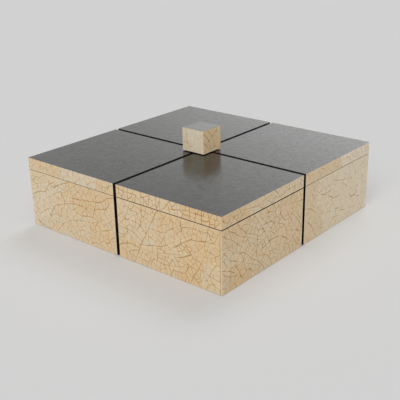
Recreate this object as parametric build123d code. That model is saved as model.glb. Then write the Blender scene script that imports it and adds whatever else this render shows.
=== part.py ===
"""A square amenity box with a lift-off lid, faced with cracked eggshell and topped with dark lacquered panels.

Millimetres, +Z up. The origin is the centre of the underside, the front is -Y and the right is +X.
The base is four mitred walls round a rebated floor with felt let in under it, lined with strips that stand
above the seam, so that the lid drops over them. Two cross-lapped dividers are housed in the liner. The lid is a mitred rim that carries a board,
four lacquered panels and a cube knob. Black grooves cross the lid and run down the middle of every side.
"""

from build123d import *

import os

# Driving dimensions
BOX_SIDE = 220.0  # outside the eggshell
SEAM_HEIGHT = 53.3  # where lid and base meet
LID_HEIGHT = 11.0
KNOB_SIDE = 24.5
KNOB_HEIGHT = 21.2
LIP_HEIGHT = 5.0  # how far the liner stands above the seam

# Thicknesses
SHELL = 1.0
WALL = 8.0
LINER = 3.0
DIVIDER = 5.0
FLOOR = 4.0
LID_BOARD = 4.0
LACQUER_PANEL = 1.0
FELT = 0.8
SPACER = 0.8

# Grooves, joints and clearances
GROOVE_WIDTH = 3.4
GROOVE_IN_WOOD = 1.0  # depth beyond the eggshell or the lacquered panels
REBATE = 4.0  # width of the rebates for the floor and the lid board
HOUSING = 1.5  # depth of the housings that take the dividers
LID_CLEARANCE = 0.4  # between the liner and the lid's rim
SEAM_RELIEF_BASE = 0.2  # the eggshell stops short of the seam
SEAM_RELIEF_LID = 0.3
DIVIDER_BELOW_LIP = 3.8
EASED_EDGE = 0.25
LEAD_IN = 1.2  # chamfer on the liner that guides the lid
DIVIDER_ROUND = 1.2
TONGUE_THICKNESS = 2.5
TONGUE_WIDTH = 7.0
TONGUE_STOP = 6.0  # the tongues end this far below the seam
STAND = 0.2  # how far the felt holds the walls off the table
FELT_CLEARANCE = 0.5  # between the felt and the walls round it
FELT_CORNER = 2.0

# Knob fastening
SPACER_INSET = 2.2
SCREW_RADIUS = 2.0
SCREW_LENGTH = 14.0
HEAD_RADIUS = 4.0
HEAD_HEIGHT = 2.2
WASHER_RADIUS = 4.5
WASHER_THICKNESS = 0.8
CLEARANCE_HOLE = 2.2
WASHER_HOLE = 2.15
INSERT_RADIUS = 3.2
INSERT_LENGTH = 10.0
INSERT_FLANGE_RADIUS = 4.2
INSERT_FLANGE = 0.8
THREAD_CLEARANCE = 0.05
DRIVE_SIZE = 3.6
DRIVE_SLOT = 0.9
DRIVE_DEPTH = 1.1

# Levels and half sizes that follow
HALF = BOX_SIDE / 2
HALF_WOOD = HALF - SHELL  # outer face of the walls and rims
HALF_INSIDE = HALF_WOOD - WALL  # inner face of the walls
HALF_CAVITY = HALF_INSIDE - LINER  # inner face of the liner
HALF_RIM = HALF_INSIDE + LID_CLEARANCE  # inner face of the lid's rim
WALL_BOTTOM = STAND
FLOOR_BOTTOM = FELT
FLOOR_TOP = FLOOR_BOTTOM + FLOOR
LIP_TOP = SEAM_HEIGHT + LIP_HEIGHT
DIVIDER_TOP = LIP_TOP - DIVIDER_BELOW_LIP
LID_TOP = SEAM_HEIGHT + LID_HEIGHT
WOOD_TOP = LID_TOP - LACQUER_PANEL
BOARD_BOTTOM = WOOD_TOP - LID_BOARD
KNOB_BOTTOM = LID_TOP + SPACER
KNOB_TOP = KNOB_BOTTOM + KNOB_HEIGHT
HALF_KNOB = KNOB_SIDE / 2
HALF_KNOB_WOOD = HALF_KNOB - SHELL

# Quarter turns about Z that carry a piece of the front side to each side
SIDES = {"front": 0, "right": 90, "back": 180, "left": 270}


def block(x, y, z):
    """A box between two limits along each axis."""
    size = [high - low for low, high in (x, y, z)]
    centre = [(high + low) / 2 for low, high in (x, y, z)]
    return Pos(*centre) * Box(*size)


def prism(points, bottom, top):
    """An upright prism on a plan outline."""
    outline = make_face(Polyline(*points, close=True))
    return Pos(0, 0, bottom) * extrude(outline, top - bottom, dir=(0, 0, 1))


def mitred_bar(outer, inner, bottom, top):
    """The front one of four mitred bars: outer and inner are the half sizes of its two faces."""
    plan = [(-outer, -outer), (outer, -outer), (inner, -inner), (-inner, -inner)]
    return prism(plan, bottom, top)


def side_groove(bottom, top):
    """The part of the upright groove that is cut into the front wood."""
    half = GROOVE_WIDTH / 2
    return block((-half, half), (-HALF_WOOD, -HALF_WOOD + GROOVE_IN_WOOD), (bottom, top))


def lid_grooves():
    """The two grooves that cross the top of the lid's wood."""
    half = GROOVE_WIDTH / 2
    depth = (WOOD_TOP - GROOVE_IN_WOOD, WOOD_TOP)
    return block((-HALF, HALF), (-half, half), depth) + block((-half, half), (-HALF, HALF), depth)


def tongue(corner_turn=0):
    """A loose tongue across the mitre at the front right corner, turned to another corner."""
    middle = (HALF_WOOD + HALF_INSIDE) / 2
    height = SEAM_HEIGHT - TONGUE_STOP - FLOOR_TOP
    strip = Box(TONGUE_THICKNESS, TONGUE_WIDTH, height)
    placed = Pos(middle, -middle, FLOOR_TOP + height / 2) * Rot(0, 0, -45) * strip
    return Rot(0, 0, corner_turn) * placed


def wall():
    """A base wall: mitred, grooved outside, rebated for the floor and slotted for the tongues."""
    bar = mitred_bar(HALF_WOOD, HALF_INSIDE, WALL_BOTTOM, SEAM_HEIGHT)
    bar -= side_groove(WALL_BOTTOM, SEAM_HEIGHT)
    bar -= block((-HALF, HALF), (-HALF_INSIDE - REBATE, -HALF_INSIDE), (WALL_BOTTOM, FLOOR_TOP))
    return bar - tongue() - tongue(-90)


def floor_panel():
    reach = HALF_INSIDE + REBATE
    return block((-reach, reach), (-reach, reach), (FLOOR_BOTTOM, FLOOR_TOP))


def felt_sheet():
    side = 2 * (HALF_INSIDE + REBATE - FELT_CLEARANCE)
    return extrude(RectangleRounded(side, side, FELT_CORNER), FELT)


def liner():
    """A liner strip with a lead-in for the lid and a stopped housing for the divider's end."""
    strip = mitred_bar(HALF_INSIDE, HALF_CAVITY, FLOOR_TOP, LIP_TOP)
    guide = [(-HALF_INSIDE, LIP_TOP), (-HALF_INSIDE + LEAD_IN, LIP_TOP), (-HALF_INSIDE, LIP_TOP - LEAD_IN)]
    section = make_face(Plane.YZ * Polyline(*guide, close=True))
    strip -= extrude(section, HALF, dir=(1, 0, 0), both=True)
    half = DIVIDER / 2
    return strip - block((-half, half), (-HALF_CAVITY - HOUSING, -HALF_CAVITY), (FLOOR_TOP, DIVIDER_TOP))


def divider_board():
    """A divider along X, rounded along its top edge, before its half lap is cut."""
    reach = HALF_CAVITY + HOUSING
    half = DIVIDER / 2
    board = block((-reach, reach), (-half, half), (FLOOR_TOP, DIVIDER_TOP))
    top_edges = board.faces().sort_by(Axis.Z)[-1].edges().filter_by(Axis.X)
    return fillet(top_edges, DIVIDER_ROUND)


def half_lap(bottom, top):
    half = DIVIDER / 2
    return block((-half, half), (-half, half), (bottom, top))


def side_shell(reach, centre_gap, bottom, top, ease_top):
    """The right half of the front facing: mitred at the corner, its outer edges eased."""
    ease = EASED_EDGE
    plan = [
        (centre_gap, -reach),
        (reach - ease, -reach),
        (reach - ease / 2, -reach + ease / 2),
        (reach - SHELL, -reach + SHELL),
        (centre_gap, -reach + SHELL),
    ]
    panel = prism(plan, bottom, top)
    front = panel.faces().sort_by(Axis.Y)[0]
    edges = front.edges().filter_by(Axis.X).sort_by(Axis.Z)
    return chamfer(edges if ease_top else edges[0], ease)


def knob_shell():
    """One eggshell face of the knob, mitred at both ends."""
    ease = EASED_EDGE
    outer, inner = HALF_KNOB, HALF_KNOB_WOOD
    right = [(outer - ease, -outer), (outer - ease / 2, -outer + ease / 2), (inner, -inner)]
    left = [(-x, y) for x, y in reversed(right)]
    panel = prism(right + left, KNOB_BOTTOM, KNOB_TOP)
    front = panel.faces().sort_by(Axis.Y)[0]
    return chamfer(front.edges().filter_by(Axis.X), ease)


def lid_rim():
    """A lid rim: mitred, rebated for the board and grooved on top and outside."""
    bar = mitred_bar(HALF_WOOD, HALF_RIM, SEAM_HEIGHT, WOOD_TOP)
    bar -= side_groove(SEAM_HEIGHT, WOOD_TOP)
    bar -= block((-HALF, HALF), (-HALF_RIM - REBATE, -HALF_RIM), (BOARD_BOTTOM, WOOD_TOP))
    return bar - lid_grooves()


def lid_board():
    reach = HALF_RIM + REBATE
    board = block((-reach, reach), (-reach, reach), (BOARD_BOTTOM, WOOD_TOP)) - lid_grooves()
    return board - Pos(0, 0, WOOD_TOP) * Cylinder(CLEARANCE_HOLE, 3 * LID_BOARD)


def lacquer_panel():
    """The front right panel of the four on the lid, its upper edges eased."""
    half = GROOVE_WIDTH / 2
    panel = block((half, HALF_WOOD), (-HALF_WOOD, -half), (WOOD_TOP, LID_TOP))
    top = panel.faces().sort_by(Axis.Z)[-1]
    beside_grooves = top.edges().filter_by(Axis.Y).sort_by(Axis.X)[:1]
    beside_grooves += top.edges().filter_by(Axis.X).sort_by(Axis.Y)[-1:]
    return chamfer(beside_grooves, EASED_EDGE)


def knob_spacer():
    side = KNOB_SIDE - 2 * SPACER_INSET
    plate = Pos(0, 0, LID_TOP + SPACER / 2) * Box(side, side, SPACER)
    return plate - Pos(0, 0, LID_TOP) * Cylinder(CLEARANCE_HOLE, 4 * SPACER)


def knob_core():
    """The knob's wood, bored from below for the insert."""
    top = KNOB_TOP - LACQUER_PANEL
    core = block((-HALF_KNOB_WOOD, HALF_KNOB_WOOD), (-HALF_KNOB_WOOD, HALF_KNOB_WOOD), (KNOB_BOTTOM, top))
    bore_depth = INSERT_LENGTH + INSERT_FLANGE
    bore = Pos(0, 0, KNOB_BOTTOM + bore_depth / 2) * Cylinder(INSERT_RADIUS, bore_depth)
    seat = Pos(0, 0, KNOB_BOTTOM + INSERT_FLANGE / 2) * Cylinder(INSERT_FLANGE_RADIUS, INSERT_FLANGE)
    return core - bore - seat


def knob_cap():
    half = HALF_KNOB_WOOD
    return block((-half, half), (-half, half), (KNOB_TOP - LACQUER_PANEL, KNOB_TOP))


def knob_insert():
    """A flanged threaded insert; its thread is plain here."""
    length = INSERT_LENGTH + INSERT_FLANGE
    sleeve = Pos(0, 0, KNOB_BOTTOM + length / 2) * Cylinder(INSERT_RADIUS, length)
    sleeve += Pos(0, 0, KNOB_BOTTOM + INSERT_FLANGE / 2) * Cylinder(INSERT_FLANGE_RADIUS, INSERT_FLANGE)
    bore = Cylinder(SCREW_RADIUS + THREAD_CLEARANCE, 3 * length)
    return sleeve - Pos(0, 0, KNOB_BOTTOM) * bore


def knob_washer():
    ring = Cylinder(WASHER_RADIUS, WASHER_THICKNESS) - Cylinder(WASHER_HOLE, 2 * WASHER_THICKNESS)
    return Pos(0, 0, BOARD_BOTTOM - WASHER_THICKNESS / 2) * ring


def knob_screw():
    """A pan-head screw up through the lid board, with a cross recess below."""
    seat = BOARD_BOTTOM - WASHER_THICKNESS
    head = Pos(0, 0, seat - HEAD_HEIGHT / 2) * Cylinder(HEAD_RADIUS, HEAD_HEIGHT)
    rim = head.edges().filter_by(GeomType.CIRCLE).sort_by(Axis.Z)[0]
    head = fillet(rim, HEAD_HEIGHT / 2)
    shank = Pos(0, 0, seat + SCREW_LENGTH / 2) * Cylinder(SCREW_RADIUS, SCREW_LENGTH)
    cross = Box(DRIVE_SIZE, DRIVE_SLOT, 2 * DRIVE_DEPTH) + Box(DRIVE_SLOT, DRIVE_SIZE, 2 * DRIVE_DEPTH)
    return head + shank - Pos(0, 0, seat - HEAD_HEIGHT) * cross


def four_sides(name, piece):
    """The same piece on each side of the box."""
    return {f"{name}_{side}": Rot(0, 0, turn) * piece for side, turn in SIDES.items()}


def eight_shells(name, bottom, top, ease_top):
    """Two facings on each side of the box, left and right of the groove as seen from outside."""
    right = side_shell(HALF, GROOVE_WIDTH / 2, bottom, top, ease_top)
    left = mirror(right, about=Plane.YZ)
    pieces = {}
    for side, turn in SIDES.items():
        pieces[f"{name}_{side}_left"] = Rot(0, 0, turn) * left
        pieces[f"{name}_{side}_right"] = Rot(0, 0, turn) * right
    return pieces


def base_pieces():
    pieces = {"floor_panel": floor_panel(), "felt_sheet": felt_sheet()}
    pieces |= four_sides("wall", wall())
    pieces["corner_tongues"] = Compound([tongue(turn) for turn in SIDES.values()])
    pieces |= four_sides("liner", liner())
    lap_level = (FLOOR_TOP + DIVIDER_TOP) / 2
    pieces["divider_lengthwise"] = divider_board() - half_lap(lap_level, DIVIDER_TOP)
    pieces["divider_crosswise"] = Rot(0, 0, 90) * divider_board() - half_lap(FLOOR_TOP, lap_level)
    return pieces | eight_shells("base_shell", WALL_BOTTOM, SEAM_HEIGHT - SEAM_RELIEF_BASE, True)


def lid_pieces():
    pieces = {"lid_board": lid_board()}
    pieces |= four_sides("lid_rim", lid_rim())
    corners = {"front_right": 0, "back_right": 90, "back_left": 180, "front_left": 270}
    for corner, turn in corners.items():
        pieces[f"lacquer_panel_{corner}"] = Rot(0, 0, turn) * lacquer_panel()
    return pieces | eight_shells("lid_shell", SEAM_HEIGHT + SEAM_RELIEF_LID, LID_TOP, False)


def knob_pieces():
    pieces = {
        "knob_spacer": knob_spacer(),
        "knob_core": knob_core(),
        "knob_cap": knob_cap(),
        "knob_insert": knob_insert(),
        "knob_washer": knob_washer(),
        "knob_screw": knob_screw(),
    }
    return pieces | four_sides("knob_shell", knob_shell())


os.makedirs("parts", exist_ok=True)
for node, shape in (base_pieces() | lid_pieces() | knob_pieces()).items():
    export_step(shape, f"parts/{node}.step")
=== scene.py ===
"""The looks of the amenity box, laid out as an add-on and run as a script.

The CAD solids stay as the frame. Every eggshell facing is laid anew as a panel whose outer face is cracked
into chips, the felt becomes a sheet of cloth, and each CAD piece gets the finish of the real one.
"""

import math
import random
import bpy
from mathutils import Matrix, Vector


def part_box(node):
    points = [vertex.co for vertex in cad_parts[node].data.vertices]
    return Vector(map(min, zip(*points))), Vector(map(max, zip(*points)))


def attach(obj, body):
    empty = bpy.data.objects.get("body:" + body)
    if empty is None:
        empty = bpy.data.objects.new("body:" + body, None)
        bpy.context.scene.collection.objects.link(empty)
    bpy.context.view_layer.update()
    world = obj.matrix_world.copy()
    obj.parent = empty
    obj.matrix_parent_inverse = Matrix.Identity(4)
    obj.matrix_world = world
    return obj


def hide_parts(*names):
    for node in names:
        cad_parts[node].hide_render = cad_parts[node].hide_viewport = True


bl_info = {
    "name": "Amenity box",
    "version": (1, 0, 0),
    "blender": (4, 5, 0),
    "location": "3D View > Sidebar > Amenity Box",
    "description": "Lays cracked eggshell, lacquer and felt on the amenity box and sets its stage",
    "category": "Object",
}

import bmesh
import bpy
from bpy.props import FloatProperty, FloatVectorProperty, PointerProperty
from mathutils import Matrix, Vector, noise
from mathutils.geometry import intersect_line_line_2d

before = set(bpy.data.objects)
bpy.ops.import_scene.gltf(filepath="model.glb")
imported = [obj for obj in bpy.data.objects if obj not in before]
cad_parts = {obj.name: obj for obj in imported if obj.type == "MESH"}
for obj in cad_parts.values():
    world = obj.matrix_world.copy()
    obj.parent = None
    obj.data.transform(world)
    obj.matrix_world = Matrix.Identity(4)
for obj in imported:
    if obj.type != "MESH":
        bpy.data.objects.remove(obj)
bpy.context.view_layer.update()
noise.seed_set(1)  # noise vectors would otherwise differ from run to run

MM = 0.001
SIDES = {"front": 0, "right": 90, "back": 180, "left": 270}
HALVES = ("left", "right")
NEAR = 0.05 * MM  # points closer than this are one point
SAME_CORNER = NEAR * 4  # a path meets a corner that is closer than this
SHORTEST_CRACK = NEAR * 20
HAIR = NEAR / 50  # what counts as nothing beside the size of a face

# How the shell breaks. An openness is from 0, a hairline, to 1. Angles are in degrees.
OVERSHOOT = 0.3 * MM  # how far a break is drawn past the crack that it ends at
RUN_ON = 0.22  # how open a break may be past its last seen point, or where it fades
FADING = 0.3  # share of the cracks that fade at one end
OPENNESS = 0.46  # of a usual crack
OPENNESS_SPREAD = (-0.13, 0.19)
OPENNESS_MOST = 0.9
CHIP_SPREAD = (0.8, 1.7)  # a chip is left whole under the usual area times a number between these
BREAK_TRIES = 5
OFF_MIDDLE = 0.14  # how far from a chip's middle its next crack may pass, beside the chip's length
BOW = 0.12  # how far a crack may bow, beside the chip's length
GRAIN_TURN = 40  # how far the grain turns aside, over a distance of about GRAIN_RUN
GRAIN_RUN = 28 * MM
GRAIN_PULL = 0.6  # how strongly cracks are drawn to the grain, at most
BLOW_PULL = 0.9  # and to the rings and spokes of a blow
BLOW_SWEEP = 2.6  # the longest ring, in radians to each side
RING_WITHIN = 30  # a crack that runs this near to a blow's ring bends round with it
SCATTER = 9  # how much a crack's way differs by chance
FREE_TINTS = (0.05, 0.4, 0.6, 0.9)  # of the pieces of shell on the sides that the photograph doesn't show
PIECE_AREA = 500  # the area of such a piece, in square millimetres

# How the cracks are drawn once the shell is broken.
SLENDER = 0.66 * MM  # a chip of less area than this times its outline is a sliver
STRIDE = 2.2 * MM  # the usual distance between two bends of a crack
CUTS_MOST = 6
WAVE = 3.4 * MM  # the size of a crack's bends, and of the finer ones on them
RIPPLE = 1.3 * MM
RIPPLE_SHARE = 0.45
PINNED = 0.5 * MM  # how near to a crack's end the panel's outline gets a point, to keep the stain short
PATCH_RUN = 9 * MM  # the edge of a piece of shell strays over about this distance, by up to PATCH_SWAY
PATCH_SWAY = 3  # in millimetres
RIM_PAINTED_SHADE = 0.07  # painted shade: how much darker the shell is painted on the panel's eased edges, against the light they catch
FILLED_VARIES = 0.9  # how much the lacquer in a crack comes and goes
FILLED_RUN = 5 * MM
STAIN_MOST = 1.2
EDGE_STAIN = 0.85  # how brown a crack's edge is beside its middle
NARROWEST = 0.55  # a hairline's share of the usual width, to which WIDENING is added as the stain grows
WIDENING = 0.6
SHARPEST = 0.2  # a sharp corner moves by its width over this at most
ROOM_SHARE = 0.45  # how far along its shorter side a corner may move
INSET_TRIES = (1.0, 0.8, 0.62, 0.48, 0.36, 0.26, 0.18, 0.1, 0.04)  # shares of a width, tried in turn
INSET_LEAST = 0.01
BACKED_OFF = 0.9  # a corner that had to move less keeps this much off what was in its way
UNTANGLE_TRIES = 5  # how often crossing corners are drawn back by half

# The dull part of the carcass, painted dark as the grooves' shade, in millimetres: from this far out to the
# sides, and from this far up.
DULL_SHADED_SIDE = (107.2, 107.8)
DULL_SHADED_TOP = (61.4, 62.1)
BRUSHED = 38  # the way of the brush's strokes on the lid, in degrees

FELT_NAP = 0.12 * MM  # how uneven the felt's underside is
FELT_FRAY = 0.2 * MM
FELT_CORNER = 0.6 * MM  # how far its corners are cut back

# The camera stands where the photograph was taken from. It turns left, looks down and leans, in degrees.
CAMERA_PLACE = (0.40915, -0.48495, 0.27195)
CAMERA_TURN = (40.3839, 22.0486, -1.1403)

# Each lamp's softness in degrees and the way towards it, then the way towards the soft glow behind the box,
# and how far from its middle, in degrees, it begins and is full.
LAMPS = {
    "key": (52, (0.385, -0.688, 0.616)),
    "back": (32, (-0.17, 0.60, 0.78)),
    "top": (90, (0.0, 0.02, 1.0)),
}
WINDOW = (0.115, 0.978, -0.174)
WINDOW_REACH = (62, 17)

# Breaks that can be told apart by eye, drawn on a side as it is faced: how open each is, from 0 to 1,
# then its points in millimetres, right of the side's middle and up from the floor.
BREAKS = {
    "base_shell_front_left": (
        (0.80, (-110, 29, -106.5, 31, -100, 34, -90, 36.5, -88, 38, -86.5, 41.5, -83.5, 46)),
        (0.80, (-83.5, 46, -80, 43.5, -78, 43, -73, 46, -68, 48, -61, 51, -56.5, 53)),
        (0.65, (-85.5, 32.5, -80.5, 35.5, -76, 38, -70.5, 41, -64.5, 41, -60.5, 43.5, -50.5, 50.5, -47, 53)),
        (0.80, (-86, 15.5, -82.5, 19.5, -80.5, 23, -76, 27, -71, 28.5, -64, 31, -56.5, 33, -49.5, 34.5,
                -40.5, 34.5)),
        (0.90, (-68, 40, -64.3, 34, -64, 31)),
        (0.80, (-56, 39, -49.5, 39, -40.5, 40.5, -30.5, 41.5, -21, 43, -16, 44.5, -12.5, 47, -11, 49,
                -2, 51.5)),
        (0.80, (-27.5, 30.5, -26, 35, -20.5, 37, -13, 38.5, -8, 43.5)),
        (0.60, (-59, 25, -54, 28, -49.5, 30.5, -44, 36.5, -44, 39.5)),
        (0.75, (-50.5, 26.5, -46.5, 25.5, -39.5, 25.5, -35.5, 27, -27.5, 27.5, -24.5, 26, -22.5, 25)),
        (0.60, (-21.5, 26.5, -26.5, 20.5, -26, 13.5, -27.5, 10.5)),
        (0.50, (-77.5, 1.5, -74.5, 5.5, -68, 11.5, -61, 15.5, -54.5, 18.5, -49.5, 19.5, -42.5, 20.5,
                -33, 22)),
        (0.65, (-90, 7.5, -86.5, 12, -84, 15.5, -79, 18, -71.5, 17, -70, 23.5, -65.5, 28, -64, 31)),
        (0.95, (-110, 1.5, -106.5, 5.5, -100.5, 3.5, -91, 1)),
        (0.60, (-110, 44, -104.5, 44.5, -102.5, 48, -96.5, 48.5, -90.5, 51.5)),
        (0.50, (-100.5, 41.5, -90.5, 45, -84, 47)),
        (0.70, (-17.5, 18, -11, 20, -5.5, 23)),
        (0.75, (-19, 15, -17.5, 12, -16, 8.5, -11, 8, -8, 13, -4.5, 15)),
        (0.75, (-31, 3, -25.5, 5, -24, 3, -21, 7, -16.5, 9)),
        (0.55, (-41, 50.5, -39.5, 46.5, -41.5, 43.5, -44.5, 41.5)),
    ),
    "base_shell_front_right": (
        (0.85, (108.4, 54, 108.4, 0)),
        (0.95, (46.5, 53, 42.5, 46, 37, 35.5, 33.5, 29.5, 29, 21.5, 26, 15.5, 22.5, 7.5, 19.5, 2)),
        (0.75, (29.5, 52.5, 29.5, 44.5, 28, 38.5, 27, 35, 24.5, 32)),
        (0.80, (29.5, 44.5, 33, 43, 39.5, 41.5)),
        (0.45, (30.5, 49.5, 42, 46.5)),
        (0.55, (27, 35, 33.5, 29.5)),
        (0.60, (17, 37, 23.5, 37, 27, 35)),
        (0.55, (3, 48, 9.5, 47, 9, 42, 2, 37)),
        (0.70, (4.5, 28.5, 12.5, 28, 16.5, 28, 22, 26, 29, 21.5)),
        (0.60, (10.5, 40, 12, 29.5, 12.5, 26.5, 8, 20.5, 4, 19)),
        (0.50, (12.5, 26, 19.5, 21.5, 26.5, 18)),
        (0.85, (1.5, 11, 10, 15, 16.5, 16.5, 21.5, 15.5, 26.5, 15.5)),
        (0.85, (13.5, 8.5, 16.5, 10.5, 23.5, 12.5)),
        (0.60, (13.5, 8, 17, 2)),
        (0.75, (28.5, 19, 33, 19.5, 40, 21.5, 49.5, 23, 54.5, 26)),
        (0.50, (27, 15.5, 37, 15, 43, 16, 53, 18.5, 60, 20)),
        (0.70, (36.5, 35.5, 50, 35.5, 55, 37, 57, 39, 62, 42)),
        (0.80, (45, 20, 45.5, 15.5, 44.5, 10.5)),
        (0.70, (23, 7, 28.5, 5.5, 35.5, 5.5, 37.5, 8.5, 37.5, 13.5)),
        (0.60, (43, 9.5, 50, 8.5, 60, 9.5, 70, 12)),
        (0.85, (61.5, 6.5, 59.5, 1.5)),
        (0.70, (61.5, 6.5, 71.5, 7, 74.5, 8, 77, 13.5, 77, 16.5)),
        (1.00, (63, 26.5, 73.5, 34, 77, 36, 80, 38, 85.5, 38.5, 92, 40, 102, 41)),
        (0.85, (70.5, 50, 70.5, 45.5, 72, 42, 75, 37, 76.5, 35.5)),
        (0.90, (74, 34, 77.5, 28, 80.5, 25.5, 83, 23, 90, 21.5, 88.5, 17, 85, 12, 80.5, 3.5)),
        (1.00, (68, 19.5, 74.5, 22, 80.5, 25.5)),
        (0.75, (72, 19.5, 78, 15.5, 85.5, 14)),
        (0.70, (89.5, 15.5, 96.5, 13.5, 102, 12, 108.5, 11.5)),
        (0.70, (105.5, 24.5, 103, 21.5, 100, 17.5, 98, 13)),
        (0.75, (98, 53, 97, 49.5, 99.5, 44.5, 102, 41.5)),
        (0.65, (108, 52, 105.5, 46.5, 103, 41.5)),
        (0.60, (97, 48.5, 91.5, 46.5, 80.5, 48, 71.5, 45.5)),
        (0.55, (108.5, 33.5, 103.5, 30, 105.5, 24.5, 108.5, 23.5)),
        (0.80, (83.5, 6.5, 88.5, 2)),
        (0.80, (96.5, 5, 95, 1.5)),
    ),
    "base_shell_right_left": (
        (0.90, (-88, 27.5, -82.5, 25.5, -76.5, 20.5, -71.5, 15.5, -68, 14, -61.5, 8.5, -58, 4.5, -56, 0.5)),
        (0.75, (-103, 52.5, -100.5, 49.5, -94.5, 46, -89.5, 42, -81, 38)),
        (0.65, (-109, 48.5, -104, 45, -98, 41.5, -89.5, 34.5, -86, 31.5)),
        (0.70, (-107.5, 34, -104, 30.5, -100.5, 26, -96.5, 24, -92.5, 22)),
        (0.60, (-109.5, 20.5, -104, 18.5, -99.5, 16.5, -96, 14)),
        (0.70, (-88, 27.5, -90.5, 24.5, -92, 21.5)),
        (0.75, (-88, 27.5, -85.5, 24.5, -83.5, 19.5, -82, 15.5)),
        (0.80, (-93.5, 18, -90.5, 18, -84, 19)),
        (0.90, (-93, 18, -89.5, 13, -87, 8, -84.5, 4.5)),
        (0.60, (-95, 4.5, -87, 7.5)),
        (0.70, (-95, 4.5, -92, 0.5)),
        (1.00, (-82, 15.5, -80.5, 10, -75.5, 9, -71.5, 5.5, -68, 1.5)),
        (0.80, (-69.5, 51.5, -66.5, 48, -62.5, 42, -58, 36.5, -54, 30, -50.5, 24.5, -48, 19.5)),
        (0.60, (-62.5, 52, -61, 47, -56, 42)),
        (0.75, (-62, 41.5, -64, 38, -65.5, 33.5, -66, 28, -66.5, 22, -66.5, 16.5)),
        (0.85, (-65.5, 25.5, -59.5, 26.5, -53.5, 28.5)),
        (0.60, (-79.5, 40, -74, 38.5, -65.5, 34)),
        (0.80, (-58, 40, -50.5, 39.5, -44.5, 38, -42.5, 34.5, -41, 30.5)),
        (0.70, (-50.5, 32, -47.5, 31, -44, 28)),
        (0.90, (-59.5, 20, -54, 21.5, -46.5, 23.5, -39.5, 23.5, -33, 21.5, -28, 18.5, -22.5, 14.5)),
        (0.75, (-60, 14.5, -56, 14, -51.5, 11.5, -48, 7, -45.5, 0.5)),
        (0.75, (-39, 51.5, -36, 46.5, -34, 40.5, -29, 34.5)),
        (0.70, (-26.5, 43, -23, 36.5, -20.5, 33, -15.5, 26.5)),
        (0.60, (-19, 36.5, -11, 30.5, -6, 23.5, -2.5, 18.5)),
        (0.60, (-19, 21.5, -11.5, 19.5, -6.5, 16.5)),
        (0.65, (-20.5, 18, -15.5, 15, -11.5, 8.5, -9, 5.5, -1.5, 1.5)),
        (0.60, (-12.5, 44.5, -1.5, 43)),
        (0.70, (-55.5, 49, -48, 47.5)),
        (0.60, (-39.5, 28, -32.5, 29.5)),
    ),
    "base_shell_right_right": (
        (0.70, (7, 31.5, 13, 29.5, 18, 25)),
        (0.75, (6.5, 19.5, 11.5, 15.5, 15.5, 10.5, 18, 5.5, 20, 3.5)),
        (0.80, (28, 38, 32, 37, 39.5, 37, 46, 37.5)),
        (0.70, (47, 46, 54.5, 43, 60.5, 41.5, 68.5, 40.5)),
        (0.75, (42, 32, 48.5, 28.5, 55, 28, 61.5, 28)),
        (0.60, (20.5, 43, 24.5, 41, 28.5, 42, 30.5, 44.5)),
        (0.65, (66.5, 36.5, 70.5, 33.5)),
        (0.85, (76.5, 23.5, 79.5, 20, 83, 19.5, 87, 20)),
        (0.90, (53, 16.5, 57, 16, 58.5, 15.5)),
        (0.85, (63.5, 12, 69.5, 10.5)),
        (0.70, (92, 17, 95.5, 15.5)),
        (0.60, (78, 9.5, 85.5, 8.5)),
        (0.50, (70.5, 7, 74.5, 2)),
        (0.50, (50, 9.5, 55.5, 8.5, 61.5, 8.5, 63.5, 7)),
        (0.45, (10.5, 46.5, 15.5, 38.5)),
    ),
    "lid_shell_front_right": (
        (1.00, (79.5, 64.5, 80, 53)),
        (1.00, (80, 60.5, 91, 60.5)),
        (1.00, (91.5, 64.5, 91, 53)),
        (1.00, (97, 64.5, 99, 58.5, 99, 53)),
        (1.00, (91.5, 57, 95, 56.5, 99, 58.5)),
        (0.85, (103.5, 54, 109, 59.5)),
        (0.95, (50, 54, 54.5, 57, 57, 60.5, 60, 64)),
        (0.95, (2, 62, 9.5, 60.5, 23.5, 60.5)),
        (0.80, (15, 64, 15, 54)),
        (0.85, (23.5, 60.5, 22.5, 54)),
        (0.95, (24.5, 59, 27, 57.5, 31.5, 60.5, 39.5, 64)),
        (0.80, (39, 63, 37, 54)),
        (0.90, (45.5, 64, 46, 54)),
        (0.75, (49.5, 64, 49.5, 54)),
        (0.90, (62, 58, 70, 59.5)),
        (0.90, (70.5, 59, 74.5, 57, 80, 57)),
    ),
    "lid_shell_right_left": (
        (0.80, (-108.4, 65, -108.4, 53)),
        (0.80, (-96, 59, -90.5, 54)),
        (0.75, (-89, 64, -86, 58)),
        (0.70, (-79.5, 60.5, -74, 59.5, -62.5, 58, -58, 60, -50.5, 61.5)),
        (0.75, (-42.5, 64, -39.5, 60.5)),
        (0.60, (-41.5, 58.5, -39.5, 57, -32.5, 57, -25.5, 59, -18, 59)),
    ),
    "lid_shell_right_right": (
        (0.60, (25, 54, 27, 59.5)),
        (0.60, (27, 62, 30.5, 60.5)),
    ),
    "knob_shell_front": (
        (0.45, (-7.5, 87, -7, 79, -6.5, 73, -4, 70, 0, 70.5, 1.5, 74)),
        (0.38, (-13, 72, -6.5, 73)),
        (0.32, (1.5, 74, 3.5, 81, 4, 87)),
    ),
    "knob_shell_right": (
        (0.75, (-12, 83.5, -8.5, 80.5, -4.4, 76)),
        (0.70, (-5.4, 87, -3, 82.5, 0.3, 78.4)),
        (0.65, (7.5, 87, 5.4, 82.6, 2, 80, 0.3, 78.4, -4.4, 76)),
        (0.50, (0.3, 78.4, 1.4, 73.7, 4.1, 69)),
        (0.55, (2, 80, 8.8, 75.7, 12, 73)),
        (0.65, (-12, 75.5, -10.2, 74.3, -5.4, 68.7, -3.4, 65.5)),
        (0.50, (-4.4, 76, -3.1, 68)),
        (0.55, (-5.4, 68.7, -3.1, 68, 4.1, 69, 12, 66)),
    ),
}
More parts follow.
